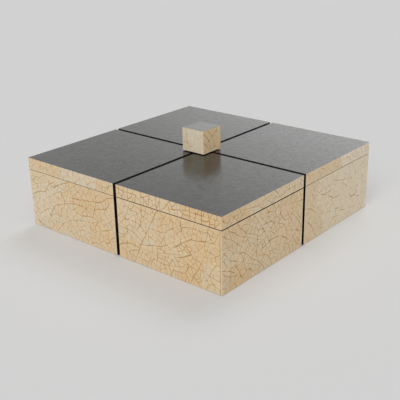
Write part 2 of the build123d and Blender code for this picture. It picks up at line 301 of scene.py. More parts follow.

# Where the pieces of shell were laid, in millimetres, then the tint of each, from -0.5, pale, through 0,
# grey, and 0.5, cream, to 1, peach, and its painted lightness where that isn't 1: over 1 is painted light,
# under 1 painted shade, for how the light falls on that part of the box.
LAID = {
    "base_shell_front_left": (
        (-97, 15, 0.05), (-92, 33, 0.1), (-76, 44, 0.2), (-104, 48, 0.45), (-50, 42, 0.75), (-33, 48, 0.8),
        (-66, 25, 0.5), (-50, 12, 0.35), (-20, 38, 0.75), (-22, 12, 0.6), (-75, 6, 0.3), (-6, 30, 0.55),
    ),
    "base_shell_front_right": (
        (6, 40, 0.45), (19, 33, 0.3), (36, 30, 0.35), (10, 6, 0.75), (52, 15, 0.65), (58, 46, 0.9),
        (80, 46, 0.85), (66, 16, 0.5), (78, 12, 1.0), (92, 35, 0.9), (101, 10, 0.45), (60, 32, 0.6),
        (38, 48, 0.6), (30, 10, 0.55),
    ),
    "base_shell_right_left": (
        (-105, 15, 0.35), (-94, 11, 1.0), (-85, 47, 0.8), (-67, 40, 0.4), (-50, 12, 0.45), (-28, 20, 0.6),
        (-12, 20, 0.65), (-12, 44, 0.65), (-80, 25, 0.45), (-45, 32, 0.5),
    ),
    "base_shell_right_right": (
        (12, 15, 0.5), (12, 40, 0.5), (32, 40, 0.0, 1.04), (50, 12, 0.0, 1.05), (72, 32, -0.1, 1.04),
        (95, 28, -0.1, 1.05),
    ),
    "lid_shell_front_left": ((-92, 59, 0.55, 0.98), (-40, 59, 0.0, 0.98), (-6, 59, 0.6, 0.98)),
    "lid_shell_front_right": (
        (10, 59, 0.65, 0.98), (35, 59, 0.5, 0.98), (56, 59, 0.45, 0.98), (90, 59, 0.95, 0.98),
    ),
    "lid_shell_right_left": ((-95, 59, 0.9), (-60, 59, 0.4), (-22, 59, 0.25)),
    "lid_shell_right_right": ((15, 59, 0.6), (40, 59, 0.6), (82, 59, -0.4, 1.02)),
    "knob_shell_front": ((0, 76, -0.35, 1.13), (-5, 69, 0.05, 1.11)),
    "knob_shell_right": ((0, 76, 0.75, 1.26),),
}

# How much the seam opens or closes at the photographed sides, on each of its two edges, in millimetres.
SEAMS = {
    ("front", "left"): -0.08, ("front", "right"): 0.04, ("right", "left"): 0.18, ("right", "right"): -0.06,
}

# Blows that the shell cracked round, in rings and spokes: centre and reach in millimetres.
BLOWS = {
    "base_shell_front_left": ((-60, 60, 26),),
    "base_shell_front_right": ((47, 2, 24),),
    "base_shell_right_left": ((-44, -2, 32), (2, 38, 34)),
    "base_shell_right_right": ((50, 52, 22),),
}

# The way that most breaks run on a panel, in degrees from level, and how open its cracks are beside others.
GRAIN = {
    "base_shell_front_left": (30, 0.95),
    "base_shell_front_right": (62, 1.0),
    "base_shell_right_left": (-42, 1.15),
    "base_shell_right_right": (-30, 0.66),
    "lid_shell_front_left": (35, 0.8),
    "lid_shell_front_right": (0, 1.3),
    "lid_shell_right_left": (-20, 0.9),
    "lid_shell_right_right": (10, 0.65),
    "knob_shell_front": (80, 0.5),
    "knob_shell_right": (-48, 1.0),
}


def linear(red, green, blue):
    """A colour as a picker shows it, from 0 to 255, in the linear values that a shader takes."""
    shares = (red / 255, green / 255, blue / 255)
    return tuple(s / 12.92 if s <= 0.04045 else ((s + 0.055) / 1.055) ** 2.4 for s in shares)


class Wire:
    """A socket that sums can be written with. Each sum adds its Math node."""

    def __init__(self, tree, socket):
        self.tree = tree
        self.socket = socket

    def maths(self, operation, first, second):
        return self.tree.node("Math", {"operation": operation}, {0: first, 1: second})

    def __add__(self, other):
        return self.maths("ADD", self, other)

    def __sub__(self, other):
        return self.maths("SUBTRACT", self, other)

    def __rsub__(self, other):
        return self.maths("SUBTRACT", other, self)

    def __mul__(self, other):
        return self.maths("MULTIPLY", self, other)

    def __pow__(self, other):
        return self.maths("POWER", self, other)

    def __or__(self, other):
        return self.maths("MAXIMUM", self, other)

    __radd__ = __add__
    __rmul__ = __mul__


class NodeTree:
    """The nodes of a material or of the world, with the one method that adds a node."""

    def __init__(self, owner):
        owner.use_nodes = True
        self.nodes = owner.node_tree.nodes
        self.links = owner.node_tree.links
        self.nodes.clear()

    def node(self, kind, settings=None, values=None, output=0):
        made = self.nodes.new("ShaderNode" + kind)
        for name, setting in (settings or {}).items():
            setattr(made, name, setting)
        for name, value in (values or {}).items():
            if isinstance(value, Wire):
                self.links.new(value.socket, made.inputs[name])
            else:
                made.inputs[name].default_value = value
        return Wire(self, made.outputs[output]) if made.outputs else made

    def millimetres(self):
        """Object coordinates in millimetres, so that a noise's scale is one over its grain's size."""
        place = self.node("TexCoord", output="Object")
        return self.node("VectorMath", {"operation": "SCALE"}, {0: place, "Scale": 1 / MM})

    def stretched(self, place, scale, turn=0):
        """A place whose grain is drawn out along the axes with a small scale, turned about the upright."""
        values = {"Vector": place, "Rotation": (0, 0, math.radians(turn)), "Scale": [1 / s for s in scale]}
        return self.node("Mapping", {"vector_type": "TEXTURE"}, values)

    def clouds(self, place, size, detail=2.0, rough=0.5, warp=0.0):
        values = {
            "Vector": place, "Scale": 1 / size, "Detail": detail, "Roughness": rough, "Distortion": warp,
        }
        return self.node("TexNoise", values=values)

    def cells(self, place, size, feature="F1"):
        return self.node("TexVoronoi", {"feature": feature}, {"Vector": place, "Scale": 1 / size})

    def ramp(self, value, low, high, start=0.0, end=1.0):
        """Start where the value is low, end where it is high, and a smooth change between."""
        values = {"Value": value, "From Min": low, "From Max": high, "To Min": start, "To Max": end}
        return self.node("MapRange", {"interpolation_type": "SMOOTHSTEP"}, values)

    def outside(self, place):
        """1 where the carcass is left dull, with painted shade: in the grooves of the sides and of the lid's
        top.
        """
        parts = [self.node("SeparateXYZ", values={0: place}, output=axis) for axis in range(3)]
        x, y = (self.node("Math", {"operation": "ABSOLUTE"}, {0: part}) for part in parts[:2])
        return self.ramp(x | y, *DULL_SHADED_SIDE) | self.ramp(parts[2], *DULL_SHADED_TOP)

    def mark(self, name):
        return self.node("Attribute", {"attribute_name": name}, output="Fac")

    def mixed(self, share, first, second):
        """The first colour, with a share of the second in its place."""
        first, second = (c if isinstance(c, Wire) else (*c, 1.0) for c in (first, second))
        return self.node("Mix", {"data_type": "RGBA"}, {0: share, 6: first, 7: second}, 2)

    def lit(self, colour, amount):
        """The colour made lighter or darker by an amount, 1 for as it is."""
        grey = self.node("CombineXYZ", values={0: amount, 1: amount, 2: amount})
        return self.node("VectorMath", {"operation": "MULTIPLY"}, {0: colour, 1: grey})

    def bumped(self, height, depth, under=None):
        values = {"Height": height, "Distance": depth, "Strength": 1.0}
        if under is not None:
            values["Normal"] = under
        return self.node("Bump", values=values)

    def surface(self, **sockets):
        """The Principled shader and the output that it feeds. A socket's name has _ for each space."""
        values = {name.replace("_", " "): value for name, value in sockets.items()}
        shader = self.node("BsdfPrincipled", values=values)
        self.node("OutputMaterial", values={"Surface": shader})


def mix_eggshell(tree, look):
    """Chips of shell in four tints under a satin coat, with brown lacquer in the cracks."""
    place = tree.millimetres()
    laid, fair, chip, stain, gap = (tree.mark(name) for name in ("laid", "fair", "chip", "stain", "gap"))
    drift = tree.clouds(place, 9.0, 3.0) - 0.5
    tint = laid + drift * 0.9 + (chip - 0.5) * 0.36
    shell = tree.mixed(tree.ramp(tint, -0.5, 0.0), look.pale, look.grey)
    shell = tree.mixed(tree.ramp(tint, 0.0, 0.5), shell, look.cream)
    shell = tree.mixed(tree.ramp(tint, 0.5, 1.0), shell, look.peach)
    speckle = tree.clouds(place, 0.7, 2.0) - 0.5
    cloud = tree.clouds(place, 5.0, 4.0, 0.6) - 0.5
    # fair paints light and shade on the shell: each piece's painted lightness, and painted shade on the eased
    # edges.
    shell = tree.lit(shell, fair + speckle * 0.10 + cloud * 0.14 + (chip - 0.5) * 0.06)
    pores = 1 - tree.ramp(tree.cells(place, 1.6), 0.05, 0.16)
    shell = tree.mixed(pores * 0.22, shell, look.stain)
    craze = 1 - tree.ramp(tree.cells(place, 2.6, "DISTANCE_TO_EDGE"), 0.0, 0.035)
    shell = tree.mixed(craze * tree.ramp(cloud, -0.1, 0.2) * 0.16, shell, look.stain)
    patchy = tree.ramp(tree.clouds(place, 13.0, 2.0), 0.35, 0.65, 0.85, 1.0)
    halo = (stain * patchy) ** 1.6
    cooler = tree.ramp(tree.clouds(place, 6.0, 2.0), 0.38, 0.62)
    soaked = tree.mixed(cooler, look.stain_warm, look.stain)
    shell = tree.mixed(halo * (1 - gap) * look.stain_depth, shell, soaked)
    lacquer = tree.mixed(tree.ramp(stain, 0.7, 1.0) * 0.5, look.crack, look.crack_deep)
    shell = tree.mixed(gap * tree.ramp(stain * patchy, 0.0, 0.6), shell, lacquer)
    polish = 0.40 + cloud * 0.12 + gap * 0.25
    relief = tree.bumped(tree.clouds(place, 1.1, 3.0), 0.03 * MM)
    relief = tree.bumped(pores * -1.0, 0.04 * MM, relief)
    tree.surface(
        Base_Color=shell, Roughness=polish, Normal=relief, Coat_Weight=0.15, Coat_Roughness=0.25,
        Specular_IOR_Level=0.45,
    )


def mix_dark_lacquer(tree, look, cool, warm, marked):
    """Rubbed black lacquer, a little uneven from the brush and the rubbing, marked by them more or less."""
    place = tree.millimetres()
    brushed = tree.stretched(place, (0.45, 1.0, 1.0), BRUSHED)
    strokes = tree.clouds(brushed, 2.6, 3.0, 0.55, 0.6) - 0.5
    cloud = tree.clouds(place, 24.0, 3.0) - 0.5
    dust = tree.clouds(place, 0.5, 1.0) - 0.5
    body = tree.mixed(tree.ramp(cloud, -0.2, 0.2), getattr(look, cool), getattr(look, warm))
    dents = tree.ramp(tree.clouds(brushed, 1.5, 2.0, 0.5, 1.0), 0.36, 0.5) - 1
    body = tree.lit(body, 1.0 + (0.3 + strokes * 3.4 + dust * 1.0 + dents * 2.1) * marked)
    polish = 0.18 + cloud * 0.05 + strokes * 0.08 - dents * 0.06
    wavy = tree.stretched(place, (0.5, 1.0, 1.0), BRUSHED)
    waves = tree.bumped(tree.clouds(wavy, 5.0, 2.0), 0.045 * MM)
    waves = tree.bumped(strokes + dents * 0.6, 0.02 * MM, waves)
    tree.surface(
        Base_Color=body, Roughness=polish, Normal=waves, Specular_Tint=(0.97, 1.0, 0.955, 1.0),
        Specular_IOR_Level=0.46, Coat_Roughness=0.12,
        Coat_Weight=0.11 + (strokes * 0.4 + dents * 0.2) * marked,
    )


def mix_black_lacquer(tree, look):
    """Black lacquer inside the box, rubbed thin to brown here and there, and painted darker in the grooves as
    their shade.
    """
    place = tree.millimetres()
    cloud = tree.clouds(place, 18.0, 4.0, 0.6)
    dust = tree.clouds(place, 0.6, 2.0)
    strokes = tree.clouds(tree.stretched(place, (1.0, 1.0, 0.2)), 2.2, 3.0)
    worn = tree.ramp(cloud * 0.7 + dust * 0.3, 0.58, 0.72)
    body = tree.mixed(worn * 0.5, look.black, look.rubbed)
    outside = tree.outside(place)
    # Painted shade: in the grooves the black is darkened to a quarter.
    body = tree.lit(body, (0.8 + strokes * 0.4) * (1 - outside * 0.75))
    polish = 0.22 + cloud * 0.16 + dust * 0.08 + outside * 0.4
    relief = tree.bumped(tree.clouds(place, 3.5, 2.0), 0.03 * MM)
    relief = tree.bumped(strokes, 0.008 * MM, relief)
    tree.surface(Base_Color=body, Roughness=polish, Normal=relief, Specular_IOR_Level=0.5)


def mix_groove_black(tree, look):
    """The flat black of the grooves and of the seam, with no polish on it, painted darker still as their
    shade.
    """
    place = tree.millimetres()
    cloud = tree.clouds(place, 4.0, 3.0)
    dust = tree.clouds(place, 0.4, 1.0)
    # Painted shade: the black is darkened to a quarter and less, for the shade deep in the grooves and the
    # seam.
    body = tree.lit(tree.mixed(cloud, look.black, look.ground), 0.25 + dust * 0.3)
    relief = tree.bumped(dust, 0.02 * MM)
    tree.surface(Base_Color=body, Roughness=0.7 + cloud * 0.2, Normal=relief, Specular_IOR_Level=0.08)


def mix_bare_wood(tree, look):
    """Close-grained wood left bare where nothing shows."""
    place = tree.millimetres()
    grain = tree.stretched(place, (1.0, 1.0, 0.08))
    rings = tree.clouds(grain, 2.4, 4.0, 0.6, 0.8)
    fibres = tree.clouds(grain, 0.45, 2.0)
    body = tree.mixed(tree.ramp(rings, 0.35, 0.65), look.wood, look.wood_dark)
    body = tree.lit(body, 0.85 + fibres * 0.3)
    relief = tree.bumped(fibres, 0.03 * MM)
    tree.surface(Base_Color=body, Roughness=0.6 + rings * 0.2, Normal=relief)


def mix_metal(tree, look, colour):
    """Turned metal: fine marks round its axis and a little tarnish."""
    place = tree.millimetres()
    marks = tree.clouds(tree.stretched(place, (1, 1, 6)), 0.5, 2.0)
    tarnish = tree.clouds(place, 2.5, 3.0)
    shine = getattr(look, colour)
    body = tree.lit(tree.mixed(tarnish * 0.3, shine, [c * 0.55 for c in shine]), 0.85 + marks * 0.3)
    relief = tree.bumped(marks, 0.008 * MM)
    tree.surface(Base_Color=body, Metallic=1.0, Roughness=0.22 + marks * 0.2 + tarnish * 0.1, Normal=relief)


def mix_felt(tree, look):
    """Pressed felt: tangled fibres with lighter lint on them."""
    place = tree.millimetres()
    fibres = tree.clouds(tree.stretched(place, (1.0, 0.25, 1.0), 35), 0.35, 4.0, 0.7, 2.0)
    tangle = tree.clouds(tree.stretched(place, (0.25, 1.0, 1.0), 20), 0.3, 4.0, 0.7, 2.0)
    cloud = tree.clouds(place, 12.0, 3.0)
    body = tree.mixed(tree.ramp(fibres * 0.5 + tangle * 0.5, 0.4, 0.68), look.felt, look.lint)
    body = tree.lit(body, 0.8 + cloud * 0.4)
    relief = tree.bumped(fibres + tangle, 0.12 * MM)
    tree.surface(
        Base_Color=body, Roughness=0.92 + cloud * 0.06, Normal=relief, Specular_IOR_Level=0.2,
        Sheen_Weight=0.4, Sheen_Roughness=0.5,
    )


def mix_floor(tree, look):
    """The pale floor, with a trace of unevenness too faint to see as a pattern."""
    place = tree.millimetres()
    cloud = tree.clouds(place, 400.0, 2.0)
    body = tree.lit(look.floor, 0.997 + cloud * 0.006)
    tree.surface(Base_Color=body, Roughness=1.0, Specular_IOR_Level=0.0)


# Each finish's recipe, and the colours and strength of marking that the recipe asks for.
FINISHES = {
    "cracked_eggshell": (mix_eggshell,),
    "rubbed_lid_lacquer": (mix_dark_lacquer, "top", "top_warm", 1.0),
    "rubbed_cap_lacquer": (mix_dark_lacquer, "cap", "cap", 0.12),
    "worn_black_lacquer": (mix_black_lacquer,),
    "painted_shade_groove_black": (mix_groove_black,),
    "close_grained_wood": (mix_bare_wood,),
    "turned_steel": (mix_metal, "steel"),
    "turned_brass": (mix_metal, "brass"),
    "pressed_felt": (mix_felt,),
    "studio_floor": (mix_floor,),
}


def finish(name):
    """The named material, mixed by its recipe the first time that it is asked for."""
    found = bpy.data.materials.get(name)
    if found is None:
        found = bpy.data.materials.new(name)
        recipe, *more = FINISHES[name]
        recipe(NodeTree(found), bpy.context.scene.amenity_colours, *more)
    return found


def place_in_scene(name, data):
    """A new object of the given data, in the scene."""
    made = bpy.data.objects.new(name, data)
    bpy.context.scene.collection.objects.link(made)
    return made


def piece_of(name, bm, *finishes):
    """A new object with the bmesh as its mesh and with the named finishes. The bmesh is freed."""
    mesh = bpy.data.meshes.new(name)
    bm.to_mesh(mesh)
    bm.free()
    for finish_name in finishes:
        mesh.materials.append(finish(finish_name))
    return place_in_scene(name, mesh)


def flat(point):
    """A point of the front's outer face as right and up."""
    return Vector((point.x, point.z))


def heading(angle):
    """The direction at an angle from level, in degrees, as right and up."""
    return Vector((math.cos(math.radians(angle)), math.sin(math.radians(angle))))


def nearest_on(start, end, point):
    """The point of a line that is nearest to the given one, and its share of the way along."""
    run = end - start
    share = min(1.0, max(0.0, (point - start).dot(run) / max(run.length_squared, 1e-18)))
    return start + run * share, share


def is_clear(point, lines, distance):
    """Whether a point is further than a distance from every line."""
    return all((nearest_on(*line, point)[0] - point).length > distance for line in lines)


def ends(edge):
    """An edge's two ends as right and up."""
    return [flat(vert.co) for vert in edge.verts]


def points_of(edges):
    """The points of some edges, each once and in order."""
    return dict.fromkeys(vert for edge in edges for vert in edge.verts)


def crossings(path, cell):
    """Where a path meets a cell's outline: how far along the path, and the point, in order."""
    met, walked = [], 0.0
    for start, end in zip(path, path[1:]):
        for edge in cell.edges:
            hit = intersect_line_line_2d(start, end, *ends(edge))
            if hit is not None:
                met.append((walked + (hit - start).length, hit))
        walked += (end - start).length
    met.sort(key=lambda pair: pair[0])
    return [pair for i, pair in enumerate(met) if i == 0 or pair[0] - met[i - 1][0] > NEAR]


def along(path, distance):
    """The point that far along a path."""
    for start, end in zip(path, path[1:]):
        length = (end - start).length
        if distance <= length:
            return start.lerp(end, distance / max(length, NEAR))
        distance -= length
    return path[-1]


def tangled(outline, places):
    """The corners whose moves cross a neighbour's, or whose new lines to each other cross."""
    found = set()
    for i in range(len(outline)):
        if intersect_line_line_2d(outline[i - 1], places[i - 1], outline[i], places[i]):
            found |= {i - 1, i}
        for j in range(i + 2, len(outline) - (i == 0)):
            if intersect_line_line_2d(places[i - 1], places[i], places[j - 1], places[j]):
                found |= {i - 1, i, j - 1, j}
    return sorted({i % len(outline) for i in found})


class Facing:
    """The outer face of one panel, in the front's place, held as the cells that cracks have cut it into."""

    def __init__(self, bm, seed):
        self.bm = bm
        self.chance = random.Random(seed)
        self.drift = Vector([self.chance.uniform(-9, 9) for _ in range(3)])
        self.open = bm.edges.layers.float.new("open")
        self.stain = bm.verts.layers.float.new("stain")
        of_faces = bm.faces.layers.float
        self.laid, self.fair, self.chip, self.gap = map(of_faces.new, ("laid", "fair", "chip", "gap"))
        self.cells = [min(bm.faces, key=lambda face: face.calc_center_median().y)]
        self.depth = self.cells[0].calc_center_median().y

    def solid(self, point):
        return Vector((point.x, self.depth, point.y))

    def holds(self, cell, point):
        return bmesh.geometry.intersect_face_point(cell, self.solid(point))

    def cell_at(self, point):
        return next((cell for cell in self.cells if self.holds(cell, point)), None)

    def corner_at(self, cell, point):
        """The cell's corner at a point of its outline, made there if it has none."""
        for vert in cell.verts:
            if (flat(vert.co) - point).length < SAME_CORNER:
                return vert
        edge = min(cell.edges, key=lambda e: (nearest_on(*ends(e), point)[0] - point).length)
        return bmesh.utils.edge_split(edge, edge.verts[0], nearest_on(*ends(edge), point)[1])[1]

    def part(self, cell, path, openness, faint=()):
        """Breaks a cell wherever the path crosses it, and gives the new cells."""
        met = crossings(path, cell)
        pieces = [cell]
        for (near, first), (far, last) in zip(met, met[1:]):
            middle = along(path, (near + far) / 2)
            piece = next((piece for piece in pieces if self.holds(piece, middle)), None)
            if piece is None or far - near < SHORTEST_CRACK:
                continue
            between, walked = [], 0.0
            for start, end in zip(path, path[1:]):
                walked += (end - start).length
                if near + SAME_CORNER < walked < far - SAME_CORNER:
                    between.append(self.solid(end))
            corners = [self.corner_at(piece, point) for point in (first, last)]
            beside = any(vert is corners[1] for edge in corners[0].link_edges for vert in edge.verts)
            if corners[0] is corners[1] or (beside and not between):
                continue
            made = bmesh.utils.face_split(piece, *corners, coords=between)
            if not made or made[0] is None:
                continue
            pieces.append(made[0])
            for edge in set(piece.edges) & set(made[0].edges):
                spot = flat((edge.verts[0].co + edge.verts[1].co) / 2)
                beyond = any((spot - a).length + (spot - b).length - (b - a).length < NEAR for a, b in faint)
                edge[self.open] = min(openness, RUN_ON) if beyond else openness
        self.cells += pieces[1:]
        return pieces[1:]

    def reached(self, end, inward):
        """The end of a drawn break taken on, the way it was going, to just past the next crack."""
        way = (end - inward).normalized()
        cell = self.cell_at(end)
        if cell is None:
            return end + way * OVERSHOOT
        met = crossings([end, end + way], cell)
        return (met[0][1] if met else end) + way * OVERSHOOT

    def draw(self, openness, numbers):
        """A break seen on the real panel, through every cell that it crosses."""
        points = [Vector(pair) * MM for pair in zip(numbers[::2], numbers[1::2])]
        first = self.reached(points[0], points[1])
        last = self.reached(points[-1], points[-2])
        faint = ((first, points[0]), (points[-1], last))
        for cell in list(self.cells):
            self.part(cell, [first, *points, last], openness, faint)

    def shatter(self, chip_area, blows, grain, boldness):
        """Breaks every cell on until its chips are about as large as the real ones."""
        waiting = list(self.cells)
        while waiting:
            cell = waiting.pop()
            if cell.calc_area() < chip_area * self.chance.uniform(*CHIP_SPREAD):
                continue
            openness = min(OPENNESS_MOST, (OPENNESS + self.chance.uniform(*OPENNESS_SPREAD)) * boldness)
            fades = self.chance.random() < FADING
            for _ in range(BREAK_TRIES):
                path = self.way_across(cell, blows, grain)
                new = self.part(cell, path, openness, [path[-2:]] if fades else ())
                if new:
                    waiting += [cell, *new]
                    break

    def way_across(self, cell, blows, grain):
        """A path that cuts a cell the short way, drawn towards the grain, or to a blow's rings and spokes."""
        outline = [flat(vert.co) for vert in cell.verts]
        spans = {}
        for angle in range(0, 180, 15):
            reaches = [point.dot(heading(angle)) for point in outline]
            spans[angle] = max(reaches) - min(reaches)
        longest = max(spans, key=spans.get)
        length = spans[longest]
        middle = flat(cell.calc_center_median_weighted())
        middle += heading(longest) * length * self.chance.uniform(-OFF_MIDDLE, OFF_MIDDLE)
        blow = next((b for b in blows if (middle - Vector(b[:2]) * MM).length < b[2] * MM), None)
        if blow:
            centre = Vector(blow[:2]) * MM
            spoke = middle - centre
            lie, pull = math.degrees(math.atan2(spoke.y, spoke.x)), BLOW_PULL
        else:
            lie = grain + GRAIN_TURN * noise.noise(self.solid(middle) / GRAIN_RUN + self.drift)
            pull = self.chance.uniform(0.0, GRAIN_PULL)
        angle = longest + 90
        angle += pull * ((lie - angle + 45) % 90 - 45) + self.chance.gauss(0, SCATTER)
        if blow and abs((angle - lie) % 180 - 90) < RING_WITHIN:
            start = math.radians(lie)
            sweep = min(BLOW_SWEEP, (length + OVERSHOOT) / max(spoke.length, MM))
            turns = [start + sweep * step / 6 for step in range(-6, 7)]
            return [centre + Vector((math.cos(turn), math.sin(turn))) * spoke.length for turn in turns]
        way, aside = heading(angle), heading(angle + 90)
        bow = aside * self.chance.uniform(-BOW, BOW) * length
        reach, quarter = way * (length + OVERSHOOT), way * length / 4
        first, last = middle - reach - bow, middle + reach - bow
        return [first, middle - quarter, middle + bow / 2, middle + quarter, last]

    def clean(self, smallest, nearest):
        """Joins slivers to a neighbour across their faintest crack, and runs close corners into one."""
        for cell in sorted(self.cells, key=lambda c: c.calc_area()):
            if not cell.is_valid or cell.calc_area() > max(smallest, cell.calc_perimeter() * SLENDER):
                continue
            shared = {}
            for edge in cell.edges:
                for other in edge.link_faces:
                    if other is not cell and other in self.cells:
                        shared.setdefault(other, []).append((edge[self.open], edge.calc_length()))
            worth = {other: sum(run for _, run in runs) / max(runs)[0] ** 5 for other, runs in shared.items()}
            if worth:
                joined = bmesh.utils.face_join([cell, max(worth, key=worth.get)])
                self.cells = [c for c in self.cells if c.is_valid]
                if joined is not None and joined not in self.cells:
                    self.cells.append(joined)
        corners = list(dict.fromkeys(vert for cell in self.cells for vert in cell.verts))
        held = list(points_of(self.rim()))
        close = bmesh.ops.find_doubles(self.bm, verts=corners, keep_verts=held, dist=nearest)["targetmap"]
        bmesh.ops.weld_verts(self.bm, targetmap=close)
        cells = [face for face in self.bm.faces if self.is_outer(face)]
        self.cells = sorted(cells, key=lambda cell: tuple(cell.calc_center_median()))

    def is_outer(self, face):
        return all(abs(vert.co.y - self.depth) < HAIR for vert in face.verts)

    def edges_beside(self, count):
        """The edges with that many cells beside them."""
        held = set(self.cells)
        edges = dict.fromkeys(edge for cell in self.cells for edge in cell.edges)
        return [edge for edge in edges if len(held.intersection(edge.link_faces)) == count]

    def cracks(self):
        return self.edges_beside(2)

    def rim(self):
        """The edges of the panel's own outline."""
        return self.edges_beside(1)

    def waver(self, swing):
        """Gives straight cracks the waver of a real break. The panel's own outline stays straight."""
        for edge in self.cracks():
            cuts = min(int(edge.calc_length() / STRIDE), CUTS_MOST)
            if cuts:
                bmesh.ops.bisect_edges(self.bm, edges=[edge], cuts=cuts)
        held = points_of(self.rim())
        for vert in points_of(self.cracks()):
            if vert not in held:
                sway = noise.noise_vector(vert.co / WAVE + self.drift)
                sway = sway + noise.noise_vector(vert.co / RIPPLE + self.drift) * RIPPLE_SHARE
                vert.co.x += sway.x * swing
                vert.co.z += sway.z * swing

    def pin_border(self):
        """Adds a point each side of a crack's end on the outline, so that its stain stays short there."""
        for edge in self.rim():
            length = edge.calc_length()
            if length > 3 * PINNED:
                start, end = edge.verts
                first = bmesh.utils.edge_split(edge, start, PINNED / length)[0]
                rest = first if end in first.verts else edge
                bmesh.utils.edge_split(rest, end, PINNED / rest.calc_length())

    def tint(self, laid):
        """Gives each chip the tint and painted light of the piece of shell that it broke from, and a tone of
        its own.
        """
        for face in self.bm.faces:
            middle = flat(face.calc_center_median_weighted())
            middle += noise.noise_vector(self.solid(middle) / PATCH_RUN).xz * PATCH_SWAY * MM
            piece = min(laid, key=lambda seed: (middle - Vector(seed[:2]) * MM).length)
            # Each face takes its piece's painted lightness less the eased edges' painted shade; the chips get
            # that back below.
            face[self.laid], face[self.fair] = piece[2], (*piece[3:], 1.0)[0] - RIM_PAINTED_SHADE
        for cell in self.cells:
            cell[self.chip] = self.chance.random()
            cell[self.fair] += RIM_PAINTED_SHADE

    def soak(self):
        """Marks how brown each point of a crack is: more where the cracks that meet there are more open."""
        for edge in self.cracks():
            for vert in edge.verts:
                filled = 1 + FILLED_VARIES * noise.noise(vert.co / FILLED_RUN - self.drift)
                vert[self.stain] = max(vert[self.stain], min(STAIN_MOST, edge[self.open] * filled))

    def inset(self, cell, width):
        """Where a cell's corners come to when it steps in by a width, or by less where it is narrow."""
        outline = [flat(vert.co) for vert in cell.verts]
        count = len(outline)
        turn = math.copysign(1, sum(outline[i - 1].cross(outline[i]) for i in range(count)))
        places = []
        for i, (vert, point) in enumerate(zip(cell.verts, outline)):
            before, after = point - outline[i - 1], outline[(i + 1) % count] - point
            inward = [Vector((-way.y, way.x)) * turn for way in (before.normalized(), after.normalized())]
            way = (inward[0] + inward[1]).normalized()
            slope = max(SHARPEST, way.dot(inward[0]))
            most = width * (NARROWEST + WIDENING * vert[self.stain])
            if before.cross(after) * turn > 0:
                room = ROOM_SHARE * min(before.length, after.length) * slope
                most = min(most, room / max(1e-3, 1 - slope ** 2) ** 0.5)
            others = [(outline[j - 1], outline[j]) for j in range(count) if j not in (i, (i + 1) % count)]
            for share in INSET_TRIES:
                place = point + way * (most * share / slope)
                if self.holds(cell, place) and is_clear(place, others, most * share):
                    break
            else:
                share = INSET_LEAST
            places.append(point + way * (most * share * (BACKED_OFF if share < 1 else 1.0) / slope))
        for _ in range(UNTANGLE_TRIES):
            for i in tangled(outline, places):
                places[i] = outline[i].lerp(places[i], 0.5)
        return {vert: self.solid(place) for vert, place in zip(cell.verts, places)}

    def step_in(self, width, keep, is_gap):
        """Steps every cell in by a width. The ring left round it is a gap or not, and the new points keep
        a share of the stain."""
        places = {cell: self.inset(cell, width) for cell in self.cells}
        made = bmesh.ops.inset_individual(self.bm, faces=self.cells, thickness=0.0)
        for ring in made["faces"]:
            inside = next(face for edge in ring.edges for face in edge.link_faces if face in places)
            for layer in (self.laid, self.fair, self.chip):
                ring[layer] = inside[layer]
            ring[self.gap] = is_gap
            for edge in ring.edges:
                outer, inner = sorted(edge.verts, key=lambda vert: vert not in places[inside])
                if outer in places[inside] and inner not in places[inside]:
                    inner.co = places[inside][outer]
                    inner[self.stain] = outer[self.stain] * keep
        self.bm.normal_update()

    def settle(self, lines, depth, unlevel):
        """Sinks the middle of each crack by how open it is, and lays each chip a hair out of level."""
        for vert in lines:
            vert.co.y += depth * vert[self.stain]
        for cell in self.cells:
            middle = cell.calc_center_median()
            lean = Vector((self.chance.uniform(-1, 1), 0, self.chance.uniform(-1, 1)))
            reach = max((vert.co - middle).length for vert in cell.verts)
            for vert in cell.verts:
                vert.co.y += unlevel * (1.5 + lean.dot(vert.co - middle) / reach) / 3


def blank_panel(lo, hi, mitres, ease, flush_top):
    """A plain panel in the front's place: a slab mitred at the ends named, its outer edges eased."""
    bm = bmesh.new()
    bmesh.ops.create_cube(bm, size=1.0, matrix=Matrix.LocRotScale((lo + hi) / 2, None, hi - lo))
    for end in mitres:
        corner = Vector((end * -lo.y, lo.y, 0))
        for point, way in ((corner, (end, 1, 0)), (corner - Vector((end * ease, 0, 0)), (end, -1, 0))):
            parts = bm.verts[:] + bm.edges[:] + bm.faces[:]
            cut = bmesh.ops.bisect_plane(bm, geom=parts, plane_co=point, plane_no=way, clear_outer=True)
            rim = [part for part in cut["geom_cut"] if isinstance(part, bmesh.types.BMEdge)]
            bmesh.ops.holes_fill(bm, edges=rim, sides=0)
    bmesh.ops.recalc_face_normals(bm, faces=bm.faces)
    bm.normal_update()
    outer = next(face for face in bm.faces if face.normal.y < -0.99)
    eased = [edge for edge in outer.edges if edge.calc_face_angle() > math.radians(60)]
    if flush_top:
        eased = [edge for edge in eased if min(vert.co.z for vert in edge.verts) < hi.z - NEAR]
    bmesh.ops.bevel(
        bm, geom=eased, offset=ease * 0.9, segments=2, profile=0.5, affect="EDGES", material=-1,
        clamp_overlap=True,
    )
    bmesh.ops.remove_doubles(bm, verts=bm.verts, dist=HAIR)
    bm.normal_update()
    return bm


def marks_of(node, lo, hi):
    """A panel's blows, its grain with its openness, and its pieces of shell: as given above, or by chance."""
    chance = random.Random(node + " blows")
    middle, span = (lo + hi) / 2 / MM, (hi - lo) / MM
    blows = BLOWS.get(node)
    if blows is None:
        x = middle.x + chance.uniform(-0.4, 0.4) * span.x
        blows = [(x, middle.z + chance.uniform(-0.6, 0.6) * span.z, span.z * 0.6)]
    grain = GRAIN.get(node, (chance.uniform(-70, 70), 0.9))
    laid = LAID.get(node)
    if laid is None:
        laid = []
        for _ in range(max(1, int(span.x * span.z / PIECE_AREA))):
            x, z = chance.uniform(lo.x, hi.x) / MM, chance.uniform(lo.z, hi.z) / MM
            laid.append((x, z, chance.choice(FREE_TINTS)))
    return blows, grain, laid


